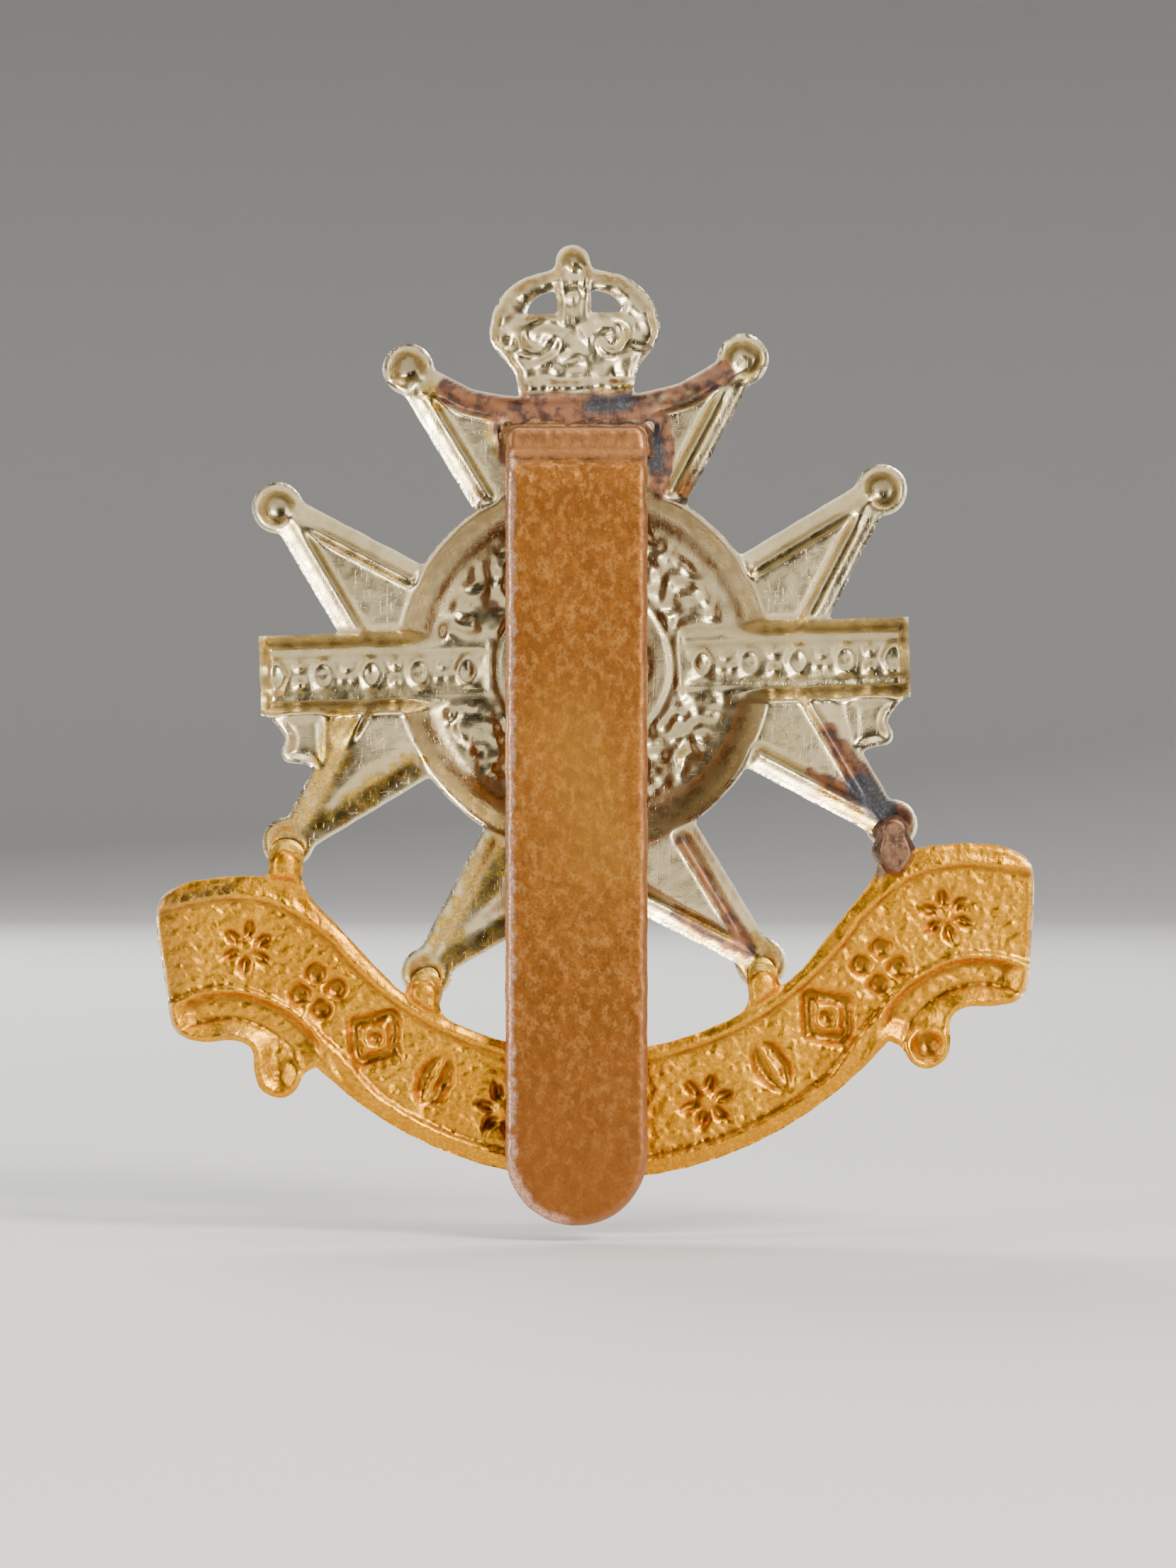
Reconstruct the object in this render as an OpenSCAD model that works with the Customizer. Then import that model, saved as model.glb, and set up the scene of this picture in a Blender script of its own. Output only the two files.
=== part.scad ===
// Cap badge, struck in two metals: a white-metal cross with a crown above it, a
// gilding-metal title scroll lapped and brazed on to its four lower tips, and a sprung
// copper-alloy slider brazed to the back.
// +Z runs up to the crown, -Y is the struck front, +Y is the hollow back, and the origin
// is the centre of the cross on its back plane. Each module draws in a flat work frame,
// x across, y up, z towards the front, and struck() stands it up.

/* [Overall] */
// Width over the two ends of the title scroll, which scales every outline
badge_w = 43; // [36:0.5:52]
// Thickness of the struck sheet
sheet_t = 0.8; // [0.65:0.05:1]

/* [Cross] */
// Centre of the badge to the centre of a ball tip, for a badge 43 wide
tip_r = 16.9; // [16.5:0.1:17.3]
// Angle between a ball tip and the centre line of its arm
tip_angle = 29; // [28:0.5:30]
// Radius of the dished disc, for a badge 43 wide
disc_r = 9.3; // [9:0.1:9.6]
// Depth of the hollow behind the disc
dish_depth = 1.4; // [1.1:0.1:1.7]
// Radius of a ball tip
ball_r = 1.25; // [1.1:0.05:1.5]
// Lean of the cross against the slider, as it was brazed
cross_lean = 1.7; // [0:0.1:2]

/* [Tablets] */
// Height of the side tablets, for a badge 43 wide
tablet_h = 3.9; // [3.5:0.1:4.2]
// Depth of the hollow behind a tablet
tablet_depth = 1.9; // [1.6:0.1:2.3]

/* [Crown] */
// Width of the crown over its lobes, for a badge 43 wide
crown_w = 8.6; // [8:0.1:9]

/* [Title scroll] */
// Radius of the scroll's upper edge, for a badge 43 wide
scroll_upper_r = 15.5; // [15.3:0.1:15.7]
// Radius of the scroll's lower edge, for a badge 43 wide
scroll_lower_r = 19; // [18.8:0.1:19.2]
// Thickness of the lugs that lap over the ball tips
lug_t = 0.45; // [0.35:0.05:0.6]
// Width of a lug
lug_w = 1.5; // [1.2:0.1:1.8]
// Lean of the scroll against the slider, as it was brazed
scroll_lean = 2.6; // [1.5:0.1:2.8]

/* [Slider] */
// Width of the slider strip
slider_w = 6.9; // [5.5:0.1:8.3]
// Thickness of the slider strip
slider_t = 0.9; // [0.75:0.05:1.1]
// Height of the slider's free end below the centre of the badge
slider_drop = 27.2; // [24:0.1:32]
// Space between the badge's back plane and the slider, for the cap's slot
slider_gap = 1.7; // [1.4:0.1:2.1]
// How far the slider sits to one side of the badge's centre, as it was brazed
slider_shift = 0.4; // [0:0.1:0.8]
// Thickness of the braze under the slider's foot
braze_t = 0.12; // [0.08:0.01:0.2]

/* [Hidden] */
$fn = 64;

// Outlines are written for a badge 43 wide, and s() carries them to badge_w
outline_w = 43;
function s(length) = length * badge_w / outline_w;
function polar(r, a) = [r * cos(a), r * sin(a)];
function unit(v) = v / norm(v);
function left_of(v) = [-v[1], v[0]];
function turned(p, a) = [p[0] * cos(a) - p[1] * sin(a), p[0] * sin(a) + p[1] * cos(a)];

// Slack that lets one solid cut cleanly through another
cut = 1;

// Cross
notch_angle = 33.7;
valley_r = 10.9;
notch_flank = 0.82;
valley_flank = 0.56;
arm_angles = [0, 90, 180, 270];
sides = [1, -1];
groove_r = 0.5;
rib_r = 1;
rib_lift = 0.35;
rib_setback = [1.05, 1.4];
collar_rib = [3, 12.6];
ball_lift = 0.35;
dome_step = 0.1;
ball_hollow_r = 0.75;
dish_rim = 0.6;
dish_slope = 1.4;
wreath_r = 5.7;
wreath_bead_r = 0.7;
rosette_petals = 6;
petal_r = 1.2;
petal_ring_r = 1.8;

// Tablets
tablet_in = 4.3;
tablet_out = 15.9;
tablet_wall = 0.6;
tablet_top = tablet_depth + sheet_t;
tablet_panel_depth = 0.25;
tablet_lozenges = 8;
ribbon_curl = [[15.8, -1.8], [14.7, -2.9], [14.9, -3.8], [14.5, -4.35], [13.8, -4.3], [13.4, -4.8], [11, -4], [11, -1.5]];

// Crown
crown_base = 13.2;
crown_base_half = 2.9;
lobe_r = 2.3;
lobe_z = 17;
orb_r = 0.75;
orb_z = 19.8;
crown_hole_r = 0.75;
crown_hole_x = 1.55;
crown_hole_z = 17.35;
crown_relief = 0.4;
pearl_r = 0.34;
pearls = 7;

// Scroll
scroll_upper_z = -3.4;
scroll_lower_z = -6.1;
scroll_straight_from = 40;
scroll_end = [
    [14.7, -9.8], [16.5, -9.55], [18.2, -9.5], [19.9, -9.7], [21, -10.2], [21.5, -11], [21.45, -12.2],
    [21.15, -14.5], [20.9, -16.5], [20.4, -17.2], [19.3, -17.5], [17.9, -17.5], [17, -18.1], [17, -19.2],
    [16.7, -20], [15.85, -20.4], [15.1, -20.1], [14.6, -19.3], [14, -18.95]
];
scroll_fold = [[21.3, -15.6], [19.3, -15], [17.3, -15], [15.3, -15.9], [13.6, -17.6]];
fold_step = 0.35;
border_w = 0.7;
border_relief = 0.25;
motif_relief = 0.35;
motif_angles = [-36, -24, -12, 0, 12, 24, 36];
lug_reach = 1.05;
lug_shift = 0.1;
lug_root = 1.6;
lug_splay = [0.15, 0.12];

// Slider
foot_top = 11.7;
foot_bend = 10.2;
joggle_h = 0.7;
strip_corner_r = 0.8;
hinge_z = 8.2;
hinge_gap = 0.06;

// The four lower ball tips, outer left first, in the work frame without any lean
lower_tips = [
    polar(s(tip_r), -tip_angle),
    polar(s(tip_r), 270 + tip_angle),
    polar(s(tip_r), 270 - tip_angle),
    polar(s(tip_r), 180 + tip_angle)
];

module struck() {
    rotate([90, 0, 0]) children();
}

// A round bar that lies along the line from a to b, at height z
module bar(a, b, r, z) {
    translate([a[0], a[1], z])
        rotate([0, 0, atan2(b[1] - a[1], b[0] - a[0])])
        rotate([0, 90, 0])
        cylinder(h = norm(b - a), r = r);
}

// ---- cross plate ----

ball = polar(s(tip_r), tip_angle);
corner = polar(s(disc_r), notch_angle);
valley = [s(valley_r), 0];
notch_side = unit(ball - corner);
valley_side = unit(ball - valley);

module arm_outline() {
    shoulder = ball + notch_flank * left_of(notch_side);
    heel = ball - valley_flank * left_of(valley_side);
    polygon([
        [0, 0],
        [corner[0], -corner[1]],
        [shoulder[0], -shoulder[1]],
        [heel[0], -heel[1]],
        valley,
        heel,
        shoulder,
        corner
    ]);
    for (side = sides)
        translate([ball[0], side * ball[1]]) circle(r = ball_r);
}

module collar_outline() {
    polygon([for (p = [
        [-8.2, 14.9], [-5.5, 13.95], [-3.2, 13.4], [3.2, 13.4], [5.5, 13.95], [8.2, 14.9], [4, 9], [-4, 9]
    ]) [s(p[0]), s(p[1])]]);
}

module crown_outline() {
    difference() {
        union() {
            polygon([for (p = [
                [-crown_base_half, crown_base - cut], [crown_base_half, crown_base - cut],
                [crown_base_half, crown_base], [3.4, 14.6], [crown_w / 2 - 0.05, 16.4],
                [2.5, 18.5], [-2.5, 18.5], [-crown_w / 2 + 0.05, 16.4], [-3.4, 14.6],
                [-crown_base_half, crown_base]
            ]) [s(p[0]), s(p[1])]]);
            for (side = sides)
                translate([side * s(crown_w / 2 - lobe_r), s(lobe_z)]) circle(r = s(lobe_r));
            translate([0, s(18.6)]) square([s(1.5), s(1.4)], center = true);
            translate([0, s(orb_z)]) circle(r = s(orb_r));
        }
        for (side = sides)
            crown_hole(side);
    }
}

module crown_hole(side) {
    intersection() {
        translate([side * s(crown_hole_x), s(crown_hole_z)]) circle(r = s(crown_hole_r + 0.2));
        translate([side * s(crown_hole_x) - s(crown_hole_r), s(crown_hole_z)])
            square([s(2 * crown_hole_r), s(2 * crown_hole_r)]);
    }
}

module plate_outline() {
    circle(r = s(disc_r));
    for (a = arm_angles)
        rotate(a) arm_outline();
    collar_outline();
    for (side = sides) {
        translate([side > 0 ? s(tablet_in) : -s(tablet_out), -s(tablet_h / 2)])
            square([s(tablet_out - tablet_in), s(tablet_h)]);
        polygon([for (p = ribbon_curl) [side * s(p[0]), s(p[1])]]);
    }
}

// The ribs of one arm's two points, each running from its ball towards the disc. The top
// arm has its crown where the others have a valley, so its inner ribs follow the collar.
module arm_ribs(a, r, z) {
    notch_end = corner - notch_flank * left_of(notch_side) + notch_side;
    valley_end = valley + rib_setback[1] * valley_side - [rib_setback[0], 0];
    collar_end = [s(collar_rib[1]), s(collar_rib[0])];
    inner = a == 90 ? collar_end : valley_end;
    for (side = sides) {
        tip = [ball[0], side * ball[1]];
        bar([notch_end[0], side * notch_end[1]], tip, r, z);
        bar([inner[0], side * inner[1]], tip, r, z);
    }
}

module cross_front() {
    linear_extrude(height = sheet_t) plate_outline();
    intersection() {
        linear_extrude(height = tablet_top) plate_outline();
        for (a = arm_angles)
            rotate([0, 0, a]) arm_ribs(a, rib_r, rib_lift);
    }
    for (a = arm_angles, side = sides)
        rotate([0, 0, a]) translate([ball[0], side * ball[1], 0])
            intersection() {
                translate([0, 0, ball_lift]) sphere(r = ball_r - dome_step);
                cylinder(h = 2 * ball_r, r = 2 * ball_r);
            }
    rotate_extrude()
        polygon([
            [0, 0], [s(disc_r), 0], [s(disc_r), sheet_t],
            [s(disc_r) - dish_slope, dish_depth + sheet_t], [0, dish_depth + sheet_t]
        ]);
    translate([0, 0, dish_depth + sheet_t - 0.1])
        rotate_extrude() translate([s(wreath_r), 0]) circle(r = wreath_bead_r);
    rosette();
    for (side = sides)
        tablet_front(side);
}

module rosette() {
    petal_z = dish_depth + sheet_t / 2;
    for (i = [0 : rosette_petals - 1])
        rotate([0, 0, i * 360 / rosette_petals])
            translate([s(petal_ring_r), 0, petal_z]) cylinder(h = 1, r = s(petal_r));
    translate([0, 0, petal_z + 0.6])
        intersection() {
            sphere(r = s(1.3));
            cylinder(h = 3, r = 3);
        }
}

module tablet_front(side) {
    x0 = side > 0 ? s(tablet_in) : -s(tablet_out);
    length = s(tablet_out - tablet_in);
    pitch = length / (tablet_lozenges + 1);
    difference() {
        translate([x0, -s(tablet_h / 2), 0]) cube([length, s(tablet_h), tablet_top]);
        translate([x0 + tablet_wall, -s(tablet_h / 2) + tablet_wall, tablet_top - tablet_panel_depth])
            cube([length - 2 * tablet_wall, s(tablet_h) - 2 * tablet_wall, cut]);
    }
    for (i = [1 : tablet_lozenges])
        translate([x0 + i * pitch, 0, tablet_top - 2 * tablet_panel_depth])
            rotate([0, 0, 45])
            translate([-s(0.42), -s(0.42), 0])
            cube([s(0.84), s(0.84), 2 * tablet_panel_depth]);
}

module cross_hollows() {
    for (a = arm_angles)
        rotate([0, 0, a]) {
            arm_ribs(a, groove_r, 0);
            for (side = sides)
                translate([ball[0], side * ball[1], 0]) sphere(r = ball_hollow_r);
        }
    rotate_extrude()
        polygon([
            [0, -cut], [s(disc_r) - dish_rim, -cut], [s(disc_r) - dish_rim, 0],
            [s(disc_r) - dish_rim - dish_slope, dish_depth], [0, dish_depth]
        ]);
    for (side = sides) {
        x0 = side > 0 ? s(tablet_in) : -s(tablet_out);
        translate([x0 + tablet_wall, -s(tablet_h / 2) + tablet_wall, -cut])
            cube([s(tablet_out - tablet_in) - 2 * tablet_wall, s(tablet_h) - 2 * tablet_wall, tablet_depth + cut]);
    }
}

module crown_front() {
    linear_extrude(height = sheet_t) crown_outline();
    band_h = 1.5;
    translate([-s(crown_base_half), s(crown_base), 0])
        cube([s(2 * crown_base_half), s(band_h), sheet_t + crown_relief]);
    translate([-s(0.45), s(crown_base + band_h), 0])
        cube([s(0.9), s(orb_z - crown_base - band_h), sheet_t + crown_relief]);
    for (side = sides)
        intersection() {
            translate([side * s(crown_w / 2 - lobe_r), s(lobe_z), 0])
                difference() {
                    cylinder(h = sheet_t + crown_relief, r = s(lobe_r) + dome_step);
                    translate([0, 0, -cut]) cylinder(h = 3 * cut, r = s(lobe_r - 0.75));
                }
            linear_extrude(height = 2 * sheet_t) crown_outline();
        }
    for (i = [0 : pearls - 1])
        translate([s((i - (pearls - 1) / 2) * 0.8), s(crown_base + 0.7), sheet_t + crown_relief])
            sphere(r = s(pearl_r));
    translate([0, s(orb_z), sheet_t])
        intersection() {
            sphere(r = s(orb_r) - dome_step);
            cylinder(h = 2, r = 2);
        }
}

module cross_plate() {
    color([0.76, 0.72, 0.62]) struck() rotate([0, 0, -cross_lean]) {
        difference() {
            union() {
                cross_front();
                crown_front();
            }
            cross_hollows();
        }
    }
}

// ---- title scroll ----

// Points on the upper or lower edge, from one side of the centre line to the other
function scroll_arc(r, z, a0, a1, steps) =
    [for (i = [0 : steps]) [0, s(z)] + polar(s(r), 270 + a0 + (a1 - a0) * i / steps)];
function mirrored(points) = [for (i = [len(points) - 1 : -1 : 0]) [-points[i][0], points[i][1]]];
function scaled(points) = [for (p = points) [s(p[0]), s(p[1])]];

module scroll_outline() {
    lower_to = 46;
    polygon(concat(
        scroll_arc(scroll_upper_r, scroll_upper_z, -scroll_straight_from, scroll_straight_from, 24),
        scaled(scroll_end),
        scroll_arc(scroll_lower_r, scroll_lower_z, lower_to, -lower_to, 28),
        mirrored(scaled(scroll_end))
    ));
}

// The face of the ribbon, without the folds turned back below its two ends
module ribbon_outline() {
    face_end = [for (i = [0 : 7]) scroll_end[i]];
    polygon(concat(
        scroll_arc(scroll_upper_r, scroll_upper_z, -scroll_straight_from, scroll_straight_from, 24),
        scaled(face_end),
        scaled(scroll_fold),
        scroll_arc(scroll_lower_r, scroll_lower_z, 42, -42, 28),
        mirrored(scaled(scroll_fold)),
        mirrored(scaled(face_end))
    ));
}

// A band that follows the ribbon between two radii, a given angle to each side
module ribbon_band(inner_r, outer_r, inner_z, outer_z, half_angle, height) {
    linear_extrude(height = height)
        polygon(concat(
            scroll_arc(inner_r, inner_z, -half_angle, half_angle, 24),
            scroll_arc(outer_r, outer_z, half_angle, -half_angle, 24)
        ));
}

// A generic ring, lozenge or bar stands where each letter of a title would be
module motif(i) {
    if (i % 3 == 0)
        difference() {
            cylinder(h = 1, r = s(0.85));
            translate([0, 0, -cut]) cylinder(h = 3, r = s(0.4));
        }
    if (i % 3 == 1)
        rotate([0, 0, 45]) translate([-s(0.6), -s(0.6), 0]) cube([s(1.2), s(1.2), 1]);
    if (i % 3 == 2)
        translate([-s(0.3), -s(0.9), 0]) cube([s(0.6), s(1.8), 1]);
}

// One lug, from its rounded end over a ball tip to its root in the scroll
function lug_tip(i) =
    let (p = turned(lower_tips[i], -cross_lean))
    turned(p + [lug_side(i) * lug_shift, -lug_reach], scroll_lean);
function lug_side(i) = i < 2 ? 1 : -1;

module lug_outline(i, grow) {
    tip = lug_tip(i);
    outer = i == 0 || i == 3;
    splay = lug_side(i) * (outer ? lug_splay[0] : lug_splay[1]);
    translate(tip) circle(r = lug_w / 2 + grow);
    translate(tip)
        polygon([
            [-lug_w / 2 - grow, 0],
            [lug_w / 2 + grow, 0],
            [lug_w / 2 + splay + grow, -lug_root],
            [-lug_w / 2 + splay - grow, -lug_root]
        ]);
}

module title_scroll() {
    face_t = sheet_t;
    color([0.80, 0.56, 0.22]) struck() rotate([0, 0, -scroll_lean]) {
        difference() {
            union() {
                translate([0, 0, -lug_t]) linear_extrude(height = face_t) scroll_outline();
                translate([0, 0, -lug_t]) linear_extrude(height = face_t + fold_step) ribbon_outline();
                translate([0, 0, face_t - lug_t])
                    ribbon_band(scroll_upper_r, scroll_upper_r + border_w, scroll_upper_z, scroll_upper_z,
                        scroll_straight_from, fold_step + border_relief);
                translate([0, 0, face_t - lug_t])
                    ribbon_band(scroll_lower_r - border_w, scroll_lower_r, scroll_lower_z, scroll_lower_z,
                        scroll_straight_from, fold_step + border_relief);
                for (i = [0 : len(motif_angles) - 1])
                    translate([0, s(scroll_upper_z - 1.1), face_t - lug_t + fold_step + motif_relief - 1])
                        rotate([0, 0, motif_angles[i]])
                        translate([0, -s(17.2), 0]) motif(i);
                for (i = [0 : 3])
                    translate([0, 0, -lug_t]) linear_extrude(height = lug_t) lug_outline(i, 0);
            }
            translate([0, 0, -lug_t - cut])
                ribbon_band(scroll_upper_r + border_w, scroll_lower_r - border_w, scroll_upper_z, scroll_lower_z,
                    scroll_straight_from, cut + border_relief);
        }
    }
}

// ---- slider ----

// The joggled strip seen from its edge, as [height, distance behind the badge]
function strip_profile() =
    let (
        foot_in = braze_t,
        foot_out = braze_t + slider_t,
        run_out = slider_gap + slider_t,
        slope = atan2(slider_gap - braze_t, joggle_h),
        mitre = slider_t * tan(slope / 2),
        bend = s(foot_bend)
    )
    [
        [s(foot_top), foot_in],
        [bend, foot_in],
        [bend - joggle_h, slider_gap],
        [-slider_drop, slider_gap],
        [-slider_drop, run_out],
        [bend - joggle_h + mitre, run_out],
        [bend + mitre, foot_out],
        [s(foot_top), foot_out]
    ];

module strip_outline() {
    top = s(foot_top);
    end_z = -slider_drop + slider_w / 2;
    translate([-slider_w / 2, end_z]) square([slider_w, top - strip_corner_r - end_z]);
    translate([-slider_w / 2 + strip_corner_r, end_z]) square([slider_w - 2 * strip_corner_r, top - end_z]);
    for (side = sides)
        translate([side * (slider_w / 2 - strip_corner_r), top - strip_corner_r]) circle(r = strip_corner_r);
    translate([0, end_z]) circle(r = slider_w / 2);
}

// The part of the slider strip between two heights
module strip(low, high) {
    struck() translate([slider_shift, 0, 0])
        intersection() {
            translate([0, 0, -2 * slider_gap - 2 * slider_t])
                linear_extrude(height = 2 * slider_gap + 2 * slider_t) strip_outline();
            translate([-slider_w, 0, 0])
                rotate([0, 90, 0])
                rotate([0, 0, 90])
                linear_extrude(height = 2 * slider_w)
                polygon([for (p = strip_profile()) [p[0], -p[1]]]);
            translate([-slider_w, low, -slider_w]) cube([2 * slider_w, high - low, 2 * slider_w]);
        }
}

module slider_foot() {
    color([0.62, 0.38, 0.18]) strip(hinge_z + hinge_gap / 2, s(foot_top) + cut);
}

module slider_tongue() {
    color([0.66, 0.41, 0.19]) strip(-slider_drop - cut, hinge_z - hinge_gap / 2);
}

// ---- brazing ----

module slider_braze() {
    fillet = 0.35;
    low = s(foot_bend) + 0.1;
    foot_h = s(foot_top) - low;
    color([0.45, 0.36, 0.30]) struck() translate([slider_shift, 0, 0]) difference() {
        union() {
            translate([-slider_w / 2 - fillet, low, -braze_t])
                cube([slider_w + 2 * fillet, foot_h + fillet, braze_t]);
            for (side = sides)
                translate([side * slider_w / 2, low, -braze_t])
                    rotate([-90, 0, 0]) cylinder(h = foot_h, r = fillet);
            bar([-slider_w / 2, s(foot_top)], [slider_w / 2, s(foot_top)], fillet, -braze_t);
        }
        translate([-slider_w, low - cut, 0]) cube([2 * slider_w, 2 * foot_h + 2 * cut, 2 * cut]);
        translate([0, 0, -braze_t - cut]) linear_extrude(height = cut) strip_outline();
    }
}

// A ring of braze round one lug's rounded end, on the back of its ball tip
module lug_braze(i, spread) {
    p = turned(lower_tips[i], -cross_lean);
    tip = turned(lug_tip(i), -scroll_lean);
    color([0.48, 0.34, 0.22]) struck() difference() {
        intersection() {
            translate([p[0], p[1], -lug_t * 0.8]) cylinder(h = lug_t * 0.8, r = ball_r + spread);
            translate([tip[0], tip[1], -lug_t * 0.8]) cylinder(h = lug_t * 0.8, r = lug_w / 2 + 0.35 + spread);
        }
        rotate([0, 0, -scroll_lean]) translate([0, 0, -2 * lug_t]) linear_extrude(height = 4 * lug_t)
            lug_outline(i, 0);
        rotate([0, 0, -scroll_lean]) translate([0, 0, -2 * lug_t]) linear_extrude(height = 4 * lug_t)
            scroll_outline();
    }
}

cross_plate();
title_scroll();
slider_foot();
slider_tongue();
slider_braze();
lug_braze(0, 0);  // lug_braze_outer_left
lug_braze(1, 0);  // lug_braze_inner_left
lug_braze(2, 0);  // lug_braze_inner_right
lug_braze(3, 0.15);  // lug_braze_outer_right
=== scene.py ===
"""A bi-metal, die-struck cap badge, looked at from its hollow back.

Every metal piece is a sheet struck from an outline. Sizes are in millimetres in a flat
work frame: x across, y up towards the crown and z out of the decorated front. A flat
point (x, y, z) stands at (x, -z, y) in the row frame, in metres.
"""

import math

import bmesh
import bpy
import numpy as np
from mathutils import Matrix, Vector


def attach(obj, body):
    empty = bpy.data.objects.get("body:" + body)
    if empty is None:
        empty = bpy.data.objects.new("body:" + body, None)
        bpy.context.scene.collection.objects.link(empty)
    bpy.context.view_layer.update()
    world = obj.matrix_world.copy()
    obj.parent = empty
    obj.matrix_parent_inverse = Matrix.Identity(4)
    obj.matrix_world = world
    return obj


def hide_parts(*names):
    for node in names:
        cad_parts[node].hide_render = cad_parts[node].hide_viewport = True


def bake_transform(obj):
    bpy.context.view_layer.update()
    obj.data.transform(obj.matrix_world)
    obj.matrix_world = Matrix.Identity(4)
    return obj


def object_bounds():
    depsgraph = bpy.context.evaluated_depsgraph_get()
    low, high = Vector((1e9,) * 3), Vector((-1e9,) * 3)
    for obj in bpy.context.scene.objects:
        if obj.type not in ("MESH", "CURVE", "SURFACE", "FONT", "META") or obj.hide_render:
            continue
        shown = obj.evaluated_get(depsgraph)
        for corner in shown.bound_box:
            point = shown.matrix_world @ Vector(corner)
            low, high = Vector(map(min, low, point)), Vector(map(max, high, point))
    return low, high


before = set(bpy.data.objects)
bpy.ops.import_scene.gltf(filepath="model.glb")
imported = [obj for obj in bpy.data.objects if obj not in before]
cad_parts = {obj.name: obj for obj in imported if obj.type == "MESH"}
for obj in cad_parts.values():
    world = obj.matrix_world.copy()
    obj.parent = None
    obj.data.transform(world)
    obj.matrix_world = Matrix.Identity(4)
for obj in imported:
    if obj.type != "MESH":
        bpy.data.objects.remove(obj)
CAD_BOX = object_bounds()

MM = 0.001
SHARP_ANGLE = math.radians(55)

# ---- sizes that part.scad also states, in millimetres and degrees ----

TIP_R = 16.9
TIP_ANGLE = math.radians(29)
DISC_R = 9.3
NOTCH_ANGLE = math.radians(33.7)
VALLEY_R = 10.9
NOTCH_FLANK = 0.82
VALLEY_FLANK = 0.56
BALL_R = 1.25
SHEET_T = 0.8
DISH_DEPTH = 1.4
TABLET_DEPTH = 1.9
TABLET_IN = 4.3
TABLET_OUT = 15.9
TABLET_HALF = 1.95
CROSS_LEAN = math.radians(1.7)
SCROLL_LEAN = math.radians(2.6)
LUG_T = 0.45
LUG_W = 1.5
LUG_REACH = 1.05
SLIDER_SHIFT = 0.4
SLIDER_W = 6.9
SLIDER_T = 0.9
SLIDER_DROP = 27.2
SLIDER_GAP = 1.7
BRAZE_T = 0.12
FOOT_TOP = 11.7
FOOT_BEND = 10.2
JOGGLE_H = 0.7


# ---- outlines: signed distance in millimetres, negative inside ----


def polar(r, angle):
    return np.array([r * math.cos(angle), r * math.sin(angle)])


def turned(x, y, angle):
    """The points after a turn about the origin."""
    c, s = math.cos(angle), math.sin(angle)
    return x * c - y * s, x * s + y * c


def ramp(low, high, v):
    """0 below low, 1 above high, and smooth between."""
    t = np.clip((v - low) / (high - low), 0, 1)
    return t * t * (3 - 2 * t)


def curve(start, control, end, steps=8):
    """Points along a curved stretch of outline, without its last one."""
    start, control, end = (np.array(p, float) for p in (start, control, end))
    ts = np.arange(steps) / steps
    return [tuple((1 - t) ** 2 * start + 2 * t * (1 - t) * control + t * t * end) for t in ts]


def arc(centre, r, a0, a1, steps=24):
    """Points along an arc, angles in degrees."""
    angles = np.radians(np.linspace(a0, a1, steps + 1))
    return [(centre[0] + r * math.cos(a), centre[1] + r * math.sin(a)) for a in angles]


def smooth(points, steps=5):
    """Points along a curve that runs through all the given ones."""
    p = [points[0]] + list(points) + [points[-1]]
    out = []
    for a, b, c, d in zip(p, p[1:], p[2:], p[3:]):
        a, b, c, d = (np.array(q, float) for q in (a, b, c, d))
        for t in np.arange(steps) / steps:
            square = (2 * a - 5 * b + 4 * c - d) * t**2
            cube = (3 * b - a - 3 * c + d) * t**3
            out.append(tuple(0.5 * (2 * b + (c - a) * t + square + cube)))
    return out + [tuple(points[-1])]


def mirrored(points):
    return [(-x, y) for x, y in reversed(points)]


def circle(x, y, centre, r):
    return np.hypot(x - centre[0], y - centre[1]) - r


def box(x, y, low, high):
    dx = np.abs(x - (low[0] + high[0]) / 2) - (high[0] - low[0]) / 2
    dy = np.abs(y - (low[1] + high[1]) / 2) - (high[1] - low[1]) / 2
    return np.hypot(np.maximum(dx, 0), np.maximum(dy, 0)) + np.minimum(np.maximum(dx, dy), 0)


def capsule(x, y, a, b, ra, rb):
    """A bar with round ends that tapers from radius ra at a to rb at b."""
    a, b = np.array(a, float), np.array(b, float)
    run = b - a
    t = np.clip(((x - a[0]) * run[0] + (y - a[1]) * run[1]) / (run @ run), 0, 1)
    return np.hypot(x - a[0] - t * run[0], y - a[1] - t * run[1]) - (ra + (rb - ra) * t)


def polygon(x, y, points):
    best = np.full(np.shape(x), np.inf)
    inside = np.zeros(np.shape(x), bool)
    for (ax, ay), (bx, by) in zip(points, points[1:] + points[:1]):
        ex, ey = bx - ax, by - ay
        t = np.clip(((x - ax) * ex + (y - ay) * ey) / (ex * ex + ey * ey + 1e-12), 0, 1)
        best = np.minimum(best, (x - ax - ex * t) ** 2 + (y - ay - ey * t) ** 2)
        if ey:
            inside ^= ((ay > y) != (by > y)) & (x < ax + ex * (y - ay) / ey)
    return np.where(inside, -1, 1) * np.sqrt(best)


def blended(a, b, k):
    """The union of two outlines with a fillet of about k where they meet."""
    h = np.clip(0.5 + 0.5 * (b - a) / k, 0, 1)
    return b + (a - b) * h - k * h * (1 - h)


# ---- a sheet struck between two surfaces ----


def softened(a, sigma):
    """a blurred by sigma grid steps."""
    pad = int(4 * sigma) + 1
    wide = np.pad(a, pad, mode="edge")
    fx = np.fft.fftfreq(wide.shape[0])[:, None]
    fy = np.fft.fftfreq(wide.shape[1])[None, :]
    keep = np.exp(-2 * (math.pi * sigma) ** 2 * (fx**2 + fy**2))
    return np.real(np.fft.ifft2(np.fft.fft2(wide) * keep))[pad:-pad, pad:-pad]


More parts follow.
